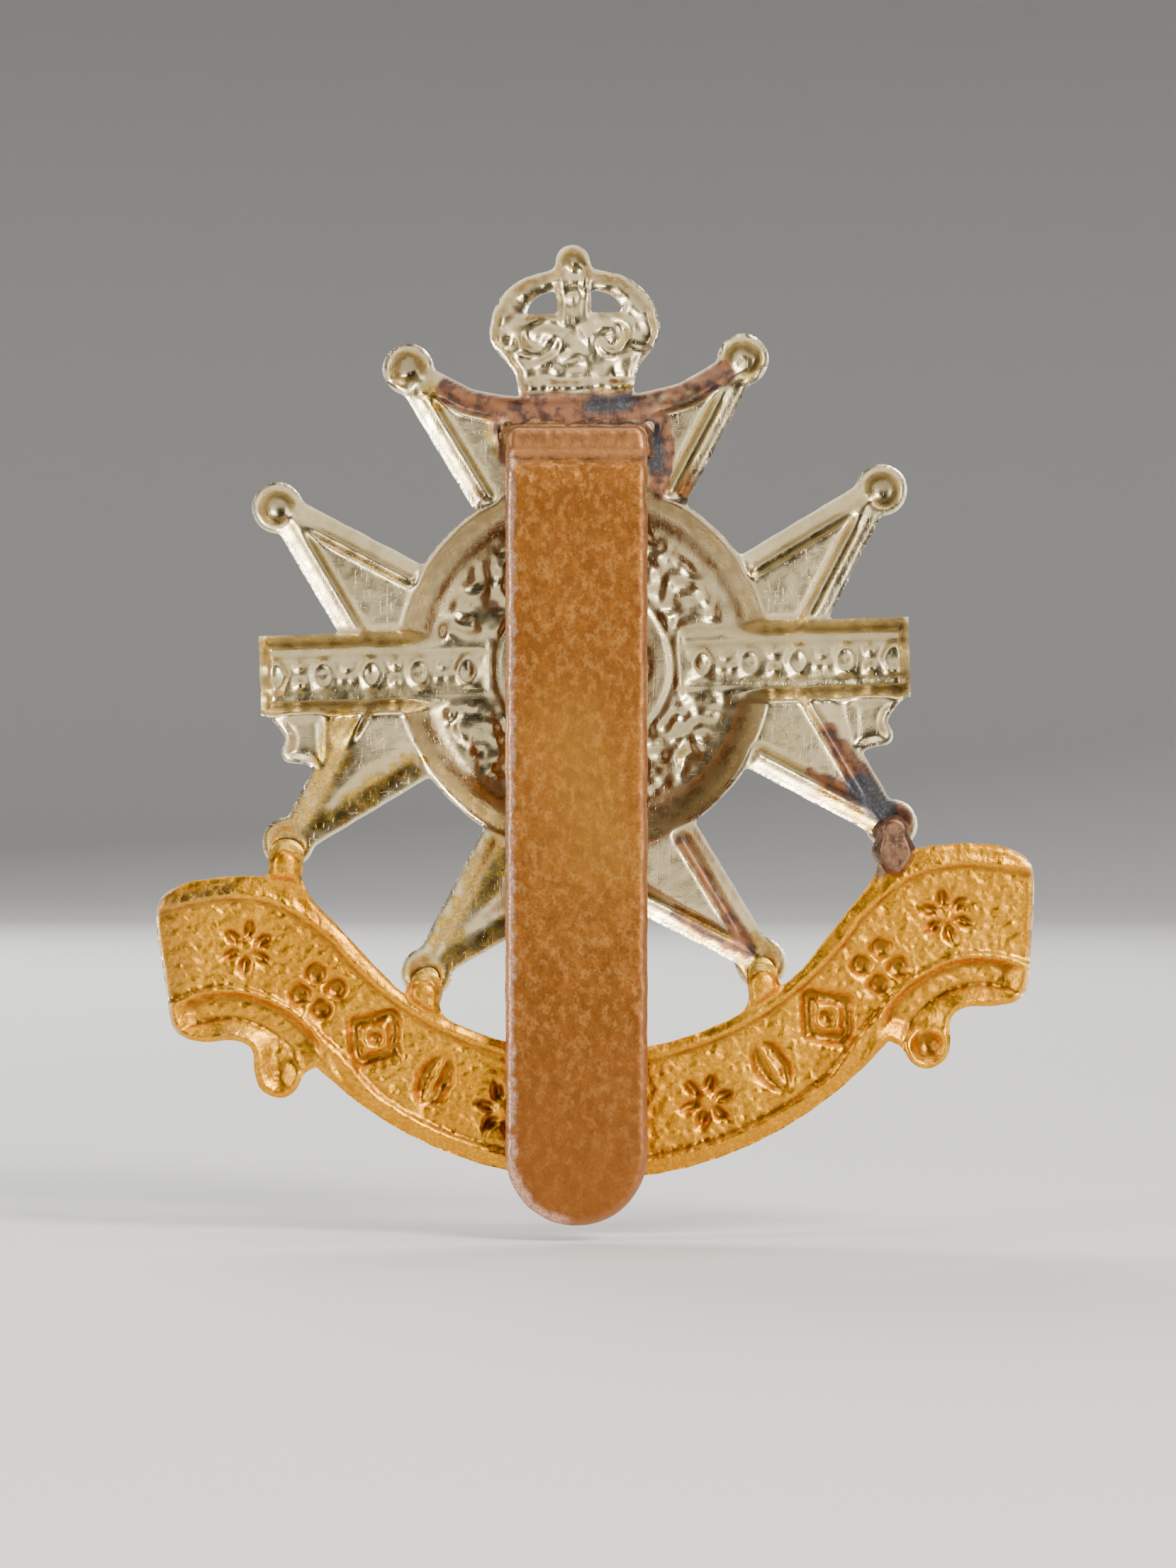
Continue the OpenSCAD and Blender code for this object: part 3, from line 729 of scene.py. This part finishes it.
def make_scroll():
    sheet = Sheet(scroll_outline, (-22.6, -26.2), (22.6, -7.2), 0.085)
    x, y = turned(sheet.x, sheet.y, SCROLL_LEAN)
    d = -sheet.d
    body = -polygon(x, y, scroll_points())
    on_body = ramp(-0.25, 0.15, body)
    crisp = scroll_relief(x, y) * on_body
    soft = softened(crisp, 1.2)
    grain = mottle(sheet.shape, 1.1, 21)
    lumps = mottle(sheet.shape, 3.5, 22)
    dome = -0.34 * lug_domes(x, y) * (1 - on_body)
    inner = ramp(0.6, 1.0, body)
    back = -LUG_T + soft + dome + (0.007 + 0.013 * inner) * grain + 0.014 * lumps
    back += 0.14 * ramp(0.28, 0.0, d)
    face = np.maximum(ramp(-0.06, 0.12, -polygon(x, y, ribbon_points())), 0)
    front = SHEET_T - LUG_T + crisp + 0.35 * face - 0.25 * ramp(0.3, 0.0, d) ** 2
    front = front * on_body + 0.03 * (1 - on_body)
    back = np.minimum(back, front - 0.3)
    # painted shade: dark in narrow grooves, along the incised line and on a dot for a small pit
    painted_crevice_shade = np.maximum.reduce([
        ramp(0.03, 0.11, soft - softened(soft, 4)) * ramp(0.1, 0.4, body),
        scroll_line(x, y) * (0.75 + 0.15 * lumps),
        ramp(0.22, 0.1, circle(sheet.x, sheet.y, PAINTED_PIT_SHADE, 0)),
    ])
    brown = speckled(near(x, y, (-14.9, -9.6), (-13.9, -10.6), 0.5, 0.6), 0.3 * lumps, 1.0)
    none = np.zeros(sheet.shape)
    masks = {
        # edge: painted highlight, a pale rim at the scroll's two ends
        "edge": ramp(0.2, 0.04, d) * ramp(20.0, 20.8, np.abs(x)),
        # hollow: painted shade, darker where the scroll is struck deeper
        "hollow": ramp(0.1, 0.5, soft),
        "painted_crevice_shade": (none, painted_crevice_shade),
        "grey": (none, (0.8 + 0.12 * grain) * stained(x, y, GREY_STAINS)),
        "brown": (none, brown),
    }
    return sheet.build("title_scroll_struck", front, back, masks)


# ---- the slider ----


def slider_outline(x, y):
    x = x - SLIDER_SHIFT
    half = SLIDER_W / 2
    low = -SLIDER_DROP + half
    wobble = 0.012 * np.sin(1.7 * y) + 0.01 * np.sin(4.1 * y + 2 * x)
    body = box(x, y, (-half + 0.6, low - 20), (half - 0.6, FOOT_TOP - 0.6)) - 0.6
    return np.where(y > low, body, circle(x, y, (0, low), half)) + wobble


def strip_lift(y):
    """How far the middle of the strip stands behind the badge."""
    foot = BRAZE_T + SLIDER_T / 2
    run = SLIDER_GAP + SLIDER_T / 2
    soft = 0.28
    low, high = FOOT_BEND - JOGGLE_H, FOOT_BEND

    def bent(v):
        return soft * np.logaddexp(0, v / soft)

    return run - (run - foot) * (bent(y - low) - bent(y - high)) / (high - low)


def make_slider():
    sheet = Sheet(slider_outline, (-4.2, -27.8), (5.0, 12.3), 0.11)
    d = -sheet.d
    edge_r = 0.4
    lip = np.clip(d, 0, edge_r)
    fall = edge_r - np.sqrt(np.clip(edge_r**2 - (edge_r - lip) ** 2, 0, None))
    dents = mottle(sheet.shape, 6, 31)
    grain = mottle(sheet.shape, 1.2, 32)
    edge_zone = ramp(0.9, 0.1, d)
    y = sheet.y
    lift = strip_lift(y)
    slope = np.gradient(lift, sheet.step, axis=1)
    thick = SLIDER_T * np.sqrt(1 + np.clip(slope, -1.2, 1.2) ** 2)
    outer = lift + thick / 2 - fall + 0.010 * dents + 0.004 * grain + 0.012 * edge_zone * grain
    inner = lift - thick / 2 + fall
    # The crease line dents the outer face a little; the material also paints shade along it.
    crease = ramp(0.2, 0.0, np.abs(y - FOOT_BEND + 0.1 - 0.06 * mottle(sheet.shape, 5, 33)))
    outer -= 0.03 * crease
    # painted highlight: a pale glint down the strip's left edge only, on the side facing the strip light
    painted_edge_glint = ramp(0.34, 0.1, np.abs(d - 0.2) + 0.07 * grain) * ramp(0.0, 1.0, sheet.x - SLIDER_SHIFT)
    masks = {
        # edge: painted highlight, lighter along the strip's edges
        "edge": ramp(0.5, 0.1, d),
        "painted_edge_glint": painted_edge_glint * ramp(10.6, 10.2, y),
        "foot": ramp(9.8, 10.2, y + 0.15 * mottle(sheet.shape, 4, 34)),
        # crease: painted shade along the bend's crease
        "crease": crease,
        "end": ramp(-15, -26, y + 0.8 * mottle(sheet.shape, 9, 35)),
        "gold": near(sheet.x, y, (0.6, -3.0), (-0.6, -9.0), 1.2, 3.2),
    }
    return sheet.build("slider_strip", -inner, -outer, masks)


# ---- brazing ----


def braze_outline(x, y):
    x = x - SLIDER_SHIFT
    ragged = 0.08 * np.sin(2.1 * x + 1) + 0.06 * np.sin(5.3 * x + 3.1 * y)
    half = SLIDER_W / 2 - 0.1
    return box(x, y, (-half, FOOT_BEND + 0.3), (half, FOOT_TOP - 0.1)) - 0.4 + ragged


def make_slider_braze():
    sheet = Sheet(braze_outline, (-4.2, 9.4), (5.0, 12.6), 0.08)
    away = np.maximum(slider_outline(sheet.x, sheet.y), -0.2)
    fillet = 0.42 * ramp(0.45, 0.0, away) ** 1.5
    lumps = mottle(sheet.shape, 3, 41)
    back = -(0.03 + fillet + 0.015 * lumps * ramp(0, 0.2, -sheet.d)) * ramp(-0.02, 0.12, -sheet.d) - 0.02
    front = np.full(sheet.shape, 0.05)
    dark = 0.85 + 0.15 * ramp(0.5, -0.5, sheet.x + 0.6 * lumps)
    return sheet.build("slider_braze_fillet", front, back, {"edge": ramp(0.2, 0.0, -sheet.d), "dark": dark})


def make_lug_braze(name, index, spread):
    p = np.array(lower_tips()[index])
    tip, root = (np.array(turned(*v, -SCROLL_LEAN)) for v in lug_ends()[index])
    centre = p * 0.45 + tip * 0.55

    def outline(x, y):
        ragged = 0.06 * np.sin(4 * x + index) + 0.05 * np.sin(5 * y + 2 * index)
        start, end = p * 0.6 + tip * 0.4, tip * (1 - spread) + root * spread
        return capsule(x, y, start, end, 0.7 + spread, 0.86 + spread) + ragged

    sheet = Sheet(outline, centre - 2.6, centre + 2.6, 0.07)
    d = -sheet.d
    head = np.hypot(sheet.x - tip[0], sheet.y - tip[1]) - LUG_W / 2
    swell = 0.92 if spread else 0.08 + 0.34 * ramp(0.4, -0.1, head)
    lumps = mottle(sheet.shape, 4, 50 + index)
    back = -(swell + 0.02 * lumps) * np.sqrt(ramp(-0.02, 0.4, d)) - 0.01
    front = np.full(sheet.shape, 0.12) + 0.2 * ramp(0.2, 0.6, d)
    dark = np.full(sheet.shape, 1.0 if spread else 0.0)
    return sheet.build(name, front, back, {"edge": ramp(0.2, 0.0, d), "dark": dark})


# ---- materials ----


class Shader:
    """A short way to write a material's nodes."""

    def __init__(self, name):
        self.material = bpy.data.materials.new(name)
        self.material.use_nodes = True
        self.tree = self.material.node_tree
        self.tree.nodes.clear()
        self.surface = self.add("ShaderNodeBsdfPrincipled")
        out = self.add("ShaderNodeOutputMaterial")
        self.link(self.surface.outputs["BSDF"], out.inputs["Surface"])
        self.place = self.add("ShaderNodeTexCoord").outputs["Object"]

    def add(self, kind, **settings):
        node = self.tree.nodes.new(kind)
        for key, value in settings.items():
            setattr(node, key, value)
        return node

    def link(self, a, b):
        self.tree.links.new(a, b)

    def feed(self, socket, value):
        if isinstance(value, bpy.types.NodeSocket):
            self.link(value, socket)
        else:
            socket.default_value = value

    def mask(self, name):
        return self.add("ShaderNodeAttribute", attribute_name=name).outputs["Fac"]

    def stretched(self, scale, turn=(0, 0, 0)):
        node = self.add("ShaderNodeMapping")
        self.link(self.place, node.inputs["Vector"])
        node.inputs["Scale"].default_value = scale
        node.inputs["Rotation"].default_value = turn
        return node.outputs["Vector"]

    def noise(self, size_mm, detail=3, rough=0.55, vector=None):
        """Noise with lumps of about size_mm, from 0 to 1."""
        node = self.add("ShaderNodeTexNoise")
        self.link(vector or self.place, node.inputs["Vector"])
        node.inputs["Scale"].default_value = 1000 / size_mm
        node.inputs["Detail"].default_value = detail
        node.inputs["Roughness"].default_value = rough
        return node.outputs["Fac"]

    def math(self, operation, a, b=0.0, clamp=False):
        node = self.add("ShaderNodeMath", operation=operation, use_clamp=clamp)
        self.feed(node.inputs[0], a)
        self.feed(node.inputs[1], b)
        return node.outputs[0]

    def fit(self, value, low, high, to_low=0.0, to_high=1.0):
        """Fits a value between low and high smoothly to the range to_low to to_high."""
        node = self.add("ShaderNodeMapRange", interpolation_type="SMOOTHSTEP")
        self.feed(node.inputs["Value"], value)
        for key, number in (("From Min", low), ("From Max", high), ("To Min", to_low), ("To Max", to_high)):
            node.inputs[key].default_value = number
        return node.outputs["Result"]

    def mix(self, share, a, b):
        """Blends two colours. The Mix node's colour sockets are inputs 6 and 7 and output 2."""
        node = self.add("ShaderNodeMix", data_type="RGBA")
        self.feed(node.inputs["Factor"], share)
        for socket, value in ((node.inputs[6], a), (node.inputs[7], b)):
            self.feed(socket, value if isinstance(value, bpy.types.NodeSocket) else (*value, 1))
        return node.outputs[2]

    def bump(self, height, distance_mm, strength=1.0, normal=None):
        node = self.add("ShaderNodeBump")
        self.feed(node.inputs["Height"], height)
        node.inputs["Distance"].default_value = distance_mm * MM
        node.inputs["Strength"].default_value = strength
        if normal is not None:
            self.link(normal, node.inputs["Normal"])
        return node.outputs["Normal"]

    def finish(self, colour, rough, metallic, normal):
        self.feed(self.surface.inputs["Base Color"], colour)
        self.feed(self.surface.inputs["Roughness"], rough)
        self.feed(self.surface.inputs["Metallic"], metallic)
        self.link(normal, self.surface.inputs["Normal"])
        return self.material


def white_metal():
    s = Shader("nickel_silver_struck")
    fine, mid, broad = s.noise(0.16, 4), s.noise(0.7, 4), s.noise(4.5, 3)
    colour = s.mix(s.fit(broad, 0.35, 0.65), (0.63, 0.50, 0.27), (0.78, 0.64, 0.37))
    colour = s.mix(s.fit(mid, 0.45, 0.7, 0, 0.4), colour, (0.41, 0.33, 0.18))
    # painted shade: darker in the hollows of the relief
    colour = s.mix(s.math("MULTIPLY", s.mask("hollow"), 0.5), colour, (0.44, 0.36, 0.19))
    # painted shade: nearly black in crevices and grooves
    colour = s.mix(s.math("MULTIPLY", s.mask("painted_crevice_shade"), 0.6), colour, (0.17, 0.135, 0.07))
    gold = s.math("MULTIPLY", s.mask("gold"), s.fit(fine, 0.38, 0.58, 0.6, 1.0))
    colour = s.mix(gold, colour, s.mix(s.fit(fine, 0.42, 0.56), (0.21, 0.10, 0.010), (0.64, 0.38, 0.035)))
    brown = s.mask("brown")
    colour = s.mix(brown, colour, s.mix(s.fit(mid, 0.4, 0.62), (0.10, 0.056, 0.044), (0.31, 0.14, 0.068)))
    blue = s.mix(s.fit(fine, 0.45, 0.7), (0.065, 0.064, 0.068), (0.125, 0.125, 0.135))
    colour = s.mix(s.mask("blue"), colour, blue)
    # painted highlight: a pale rim along the edges
    colour = s.mix(s.math("MULTIPLY", s.mask("edge"), 0.75), colour, (0.86, 0.78, 0.62))
    scratch_a = s.noise(0.9, 2, 0.5, s.stretched((7, 7, 0.5), (0, 0.45, 0)))
    scratch_b = s.noise(0.9, 2, 0.5, s.stretched((0.6, 7, 8), (0, 0.5, 0)))
    scratches = s.math("MAXIMUM", s.fit(scratch_a, 0.62, 0.7), s.fit(scratch_b, 0.64, 0.72))
    scratches = s.math("MULTIPLY", scratches, s.math("ADD", s.math("MULTIPLY", s.mask("rubbed"), 0.8), 0.2))
    rough = s.fit(mid, 0.3, 0.7, 0.21, 0.38)
    rough = s.math("ADD", rough, s.math("MULTIPLY", s.math("MAXIMUM", brown, s.mask("blue")), 0.16))
    rough = s.math("SUBTRACT", rough, s.math("MULTIPLY", scratches, 0.1), clamp=True)
    metallic = s.math("SUBTRACT", 1.0, s.math("MULTIPLY", brown, 0.25))
    normal = s.bump(fine, 0.02, 0.55)
    normal = s.bump(s.math("MULTIPLY", scratches, -1.0), 0.02, 1.0, normal)
    return s.finish(colour, rough, metallic, normal)


def gilding_metal():
    s = Shader("gilding_metal_struck")
    fine, mid, broad = s.noise(0.17, 4), s.noise(0.6, 4), s.noise(5, 3)
    colour = s.mix(s.fit(broad, 0.35, 0.65), (0.80, 0.335, 0.008), (0.94, 0.45, 0.02))
    colour = s.mix(s.fit(fine, 0.42, 0.62, 0.5, 0.0), colour, (0.44, 0.16, 0.008))
    colour = s.mix(s.fit(mid, 0.5, 0.72, 0, 0.35), colour, (0.40, 0.18, 0.025))
    # painted shade: darker in the hollows of the relief
    colour = s.mix(s.math("MULTIPLY", s.mask("hollow"), 0.25), colour, (0.56, 0.235, 0.008))
    # painted shade: nearly black in grooves, along the incised line and on the pit dot
    colour = s.mix(s.math("MULTIPLY", s.mask("painted_crevice_shade"), 0.75), colour, (0.17, 0.065, 0.01))
    colour = s.mix(s.math("MULTIPLY", s.mask("grey"), 0.75), colour, (0.30, 0.20, 0.085))
    colour = s.mix(s.mask("brown"), colour, (0.28, 0.17, 0.09))
    # painted highlight: a pale rim at the scroll's ends
    colour = s.mix(s.math("MULTIPLY", s.mask("edge"), 0.7), colour, (0.84, 0.66, 0.38))
    rough = s.fit(mid, 0.3, 0.7, 0.28, 0.46)
    normal = s.bump(fine, 0.035, 0.75)
    normal = s.bump(s.noise(0.45, 3), 0.03, 0.4, normal)
    return s.finish(colour, rough, 1.0, normal)


def slider_metal():
    s = Shader("slider_copper_alloy")
    fine, mid, broad = s.noise(0.16, 5, 0.65), s.noise(0.8, 5, 0.6), s.noise(6, 3)
    fibres = s.noise(0.42, 4, 0.65, s.stretched((1.0, 1, 0.75), (0, 0.5, 0)))
    colour = s.mix(s.fit(broad, 0.3, 0.7), (0.28, 0.094, 0.012), (0.375, 0.134, 0.018))
    colour = s.mix(s.fit(mid, 0.38, 0.62, 0, 0.6), colour, (0.19, 0.062, 0.009))
    colour = s.mix(s.fit(fibres, 0.46, 0.64, 0, 0.55), colour, (0.55, 0.25, 0.055))
    colour = s.mix(s.fit(fine, 0.46, 0.62, 0, 0.65), colour, (0.15, 0.05, 0.009))
    colour = s.mix(s.math("MULTIPLY", s.mask("gold"), 0.45), colour, (0.44, 0.21, 0.025))
    colour = s.mix(s.math("MULTIPLY", s.mask("foot"), 0.7), colour, (0.29, 0.125, 0.045))
    colour = s.mix(s.math("MULTIPLY", s.mask("end"), 0.6), colour, (0.27, 0.085, 0.018))
    # painted shade: a dark, broken line along the bend's crease
    colour = s.mix(s.math("MULTIPLY", s.mask("crease"), s.fit(mid, 0.4, 0.6)), colour, (0.06, 0.028, 0.014))
    # painted highlight: a pale glint along the strip's left edge
    painted_edge_glint = s.math("MULTIPLY", s.mask("painted_edge_glint"), s.fit(fine, 0.4, 0.6, 1.0, 0.35))
    colour = s.mix(painted_edge_glint, colour, (0.78, 0.50, 0.36))
    # painted highlight: lighter along the strip's edges
    colour = s.mix(s.math("MULTIPLY", s.mask("edge"), 0.3), colour, (0.62, 0.31, 0.16))
    rough = s.fit(fine, 0.3, 0.7, 0.38, 0.52)
    rough = s.math("SUBTRACT", rough, s.math("MULTIPLY", painted_edge_glint, 0.12))
    normal = s.bump(fine, 0.02, 0.5)
    normal = s.bump(fibres, 0.02, 0.35, normal)
    return s.finish(colour, rough, 0.85, normal)


def braze_metal():
    s = Shader("braze_stained")
    fine, mid = s.noise(0.2, 4), s.noise(0.8, 3)
    gold = s.mix(s.fit(mid, 0.4, 0.6), (0.56, 0.31, 0.04), (0.72, 0.44, 0.08))
    brown = s.mix(s.fit(mid, 0.4, 0.6), (0.11, 0.06, 0.042), (0.26, 0.13, 0.075))
    brown = s.mix(s.fit(fine, 0.5, 0.7, 0, 0.7), brown, (0.30, 0.19, 0.09))
    colour = s.mix(s.mask("dark"), gold, brown)
    rough = s.fit(fine, 0.3, 0.7, 0.3, 0.5)
    return s.finish(colour, rough, 0.85, s.bump(fine, 0.03, 0.7))


def plain_stage():
    s = Shader("stage_plain")
    height = s.add("ShaderNodeSeparateXYZ")
    s.link(s.place, height.inputs[0])
    tone = s.fit(height.outputs["Z"], -0.03, 0.5)
    colour = s.mix(tone, (0.70, 0.69, 0.67), (0.09, 0.09, 0.094))
    return s.finish(colour, 0.85, 0.0, s.bump(s.noise(2.0, 2), 0.02, 0.1))


# ---- put the pieces on the frame ----


def dress(piece, material, body, slot, *nodes):
    piece.data.materials.append(material)
    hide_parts(*nodes)
    if body:
        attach(piece, body)
    return piece


dress(make_cross(), white_metal(), "badge", "white_metal", "cross_plate")
dress(make_scroll(), gilding_metal(), "badge", "gilding_metal", "title_scroll")
slider = dress(make_slider(), slider_metal(), None, "slider_alloy", "slider_foot", "slider_tongue")
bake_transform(slider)
braze = braze_metal()
dress(make_slider_braze(), braze, "badge", "braze", "slider_braze")
LUG_BRAZES = [("outer_left", 0.0), ("inner_left", 0.0), ("inner_right", 0.0), ("outer_right", 0.22)]
for index, (place, spread) in enumerate(LUG_BRAZES):
    node = f"lug_braze_{place}"
    dress(make_lug_braze(f"{node}_fillet", index, spread), braze, "badge", "braze", node)


# ---- stage, light and camera ----


def make_stage():
    """A pale floor that curves up all round into a tall wall, well outside every view."""
    floor_z = CAD_BOX[0].z - 0.0008
    flat_r, bend_r, wall_h, bend_steps, turns = 0.7, 0.5, 1.6, 15, 96
    profile = [(0.0, floor_z), (flat_r, floor_z)]
    profile += [
        (flat_r + bend_r * math.sin(a), floor_z + bend_r * (1 - math.cos(a)))
        for a in np.radians(np.linspace(6, 90, bend_steps))
    ]
    profile.append((flat_r + bend_r, floor_z + wall_h))
    points = [
        (r * math.cos(t), r * math.sin(t), z)
        for r, z in profile[1:]
        for t in np.linspace(0, 2 * math.pi, turns, endpoint=False)
    ]
    faces = [tuple(range(turns))]
    for ring in range(len(profile) - 2):
        for i in range(turns):
            j = (i + 1) % turns
            a, b = ring * turns + i, ring * turns + j
            faces.append((a, a + turns, b + turns, b))
    mesh = bpy.data.meshes.new("stage_floor")
    mesh.from_pydata(points, [], faces)
    mesh.shade_smooth()
    floor = bpy.data.objects.new("stage_floor", mesh)
    bpy.context.scene.collection.objects.link(floor)
    mesh.materials.append(plain_stage())


def make_light(name, place, aim, size, power, tint=(1, 1, 1)):
    lamp = bpy.data.lights.new(name, "AREA")
    lamp.shape = "RECTANGLE"
    lamp.size, lamp.size_y = size
    lamp.energy = power
    lamp.color = tint
    holder = bpy.data.objects.new(name, lamp)
    bpy.context.scene.collection.objects.link(holder)
    holder.location = place
    holder.rotation_euler = (Vector(aim) - Vector(place)).to_track_quat("-Z", "Y").to_euler()


def make_camera():
    """The camera looks squarely at the badge's back. view_h is the height it sees, in metres."""
    view_h, distance = 0.0767, 0.30
    data = bpy.data.cameras.new("camera")
    data.sensor_width = 36
    data.lens = data.sensor_width * distance / view_h
    data.clip_start, data.clip_end = 0.01, 20
    camera = bpy.data.objects.new("camera", data)
    bpy.context.scene.collection.objects.link(camera)
    aim = Vector((-0.00016, 0, -0.00576))
    camera.location = aim + Vector((0, distance, 0))
    camera.rotation_euler = (aim - camera.location).to_track_quat("-Z", "Y").to_euler()
    bpy.context.scene.camera = camera


world = bpy.data.worlds.new("studio")
world.use_nodes = True
world.node_tree.nodes["Background"].inputs["Color"].default_value = (0.95, 0.97, 1.0, 1)
world.node_tree.nodes["Background"].inputs["Strength"].default_value = 0.1
bpy.context.scene.world = world

make_stage()
make_light("key", (-0.27, 0.4, 0.3), (0, 0, 0), (0.2, 0.2), 4.9, (1.0, 0.97, 0.92))
make_light("side_strip", (0.5, 0.26, 0.08), (0, 0, 0), (0.1, 0.5), 2.2)
make_light("low_fill", (-0.3, 0.5, -0.02), (0, 0, 0), (0.3, 0.2), 0.8)
make_light("front_fill", (0.2, -0.5, 0.35), (0, 0, 0), (0.4, 0.3), 4.5)
make_light("top", (0.0, 0.0, 0.7), (0, 0, 0), (0.5, 0.5), 3.0)
make_camera()
